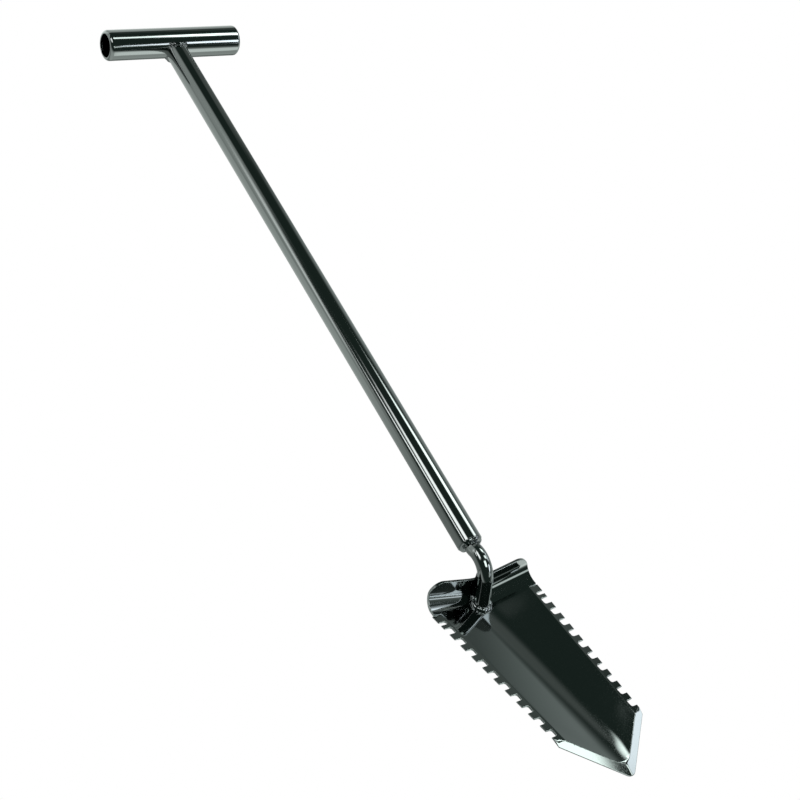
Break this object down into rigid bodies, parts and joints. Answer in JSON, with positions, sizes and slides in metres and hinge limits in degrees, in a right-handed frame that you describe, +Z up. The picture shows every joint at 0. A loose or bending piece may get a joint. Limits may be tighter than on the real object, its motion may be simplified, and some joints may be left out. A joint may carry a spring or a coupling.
{
  "type": "detecting shovel",
  "caption": "Long T-handled digging shovel: rolled-end cross grip, tube shaft, cranked neck bar and a toothed V-section blade with a bent foot rest.",
  "frame": {"origin": "where the shaft's axis crosses the grip's axis, at the middle of the grip's bore", "axes": "+Z up the shaft, +X along the grip, -Y towards the working face of the blade"},
  "size_m": [0.144, 0.0598, 0.8673],
  "materials": {
    "plated_tube": "polished black plating",
    "plated_bar": "polished black plating",
    "plated_blade": "polished black plating over rolled plate",
    "plated_weld": "black plating over rippled weld"
  },
  "bodies": {
    "root": {"grip_tube": "plated_tube", "shaft_tube": "plated_tube", "neck_bush": "plated_bar", "neck_bar": "plated_bar", "blade": "plated_blade", "grip_weld": "plated_weld", "shaft_weld": "plated_weld", "blade_weld": "plated_weld"}
  },
  "joints": []
}
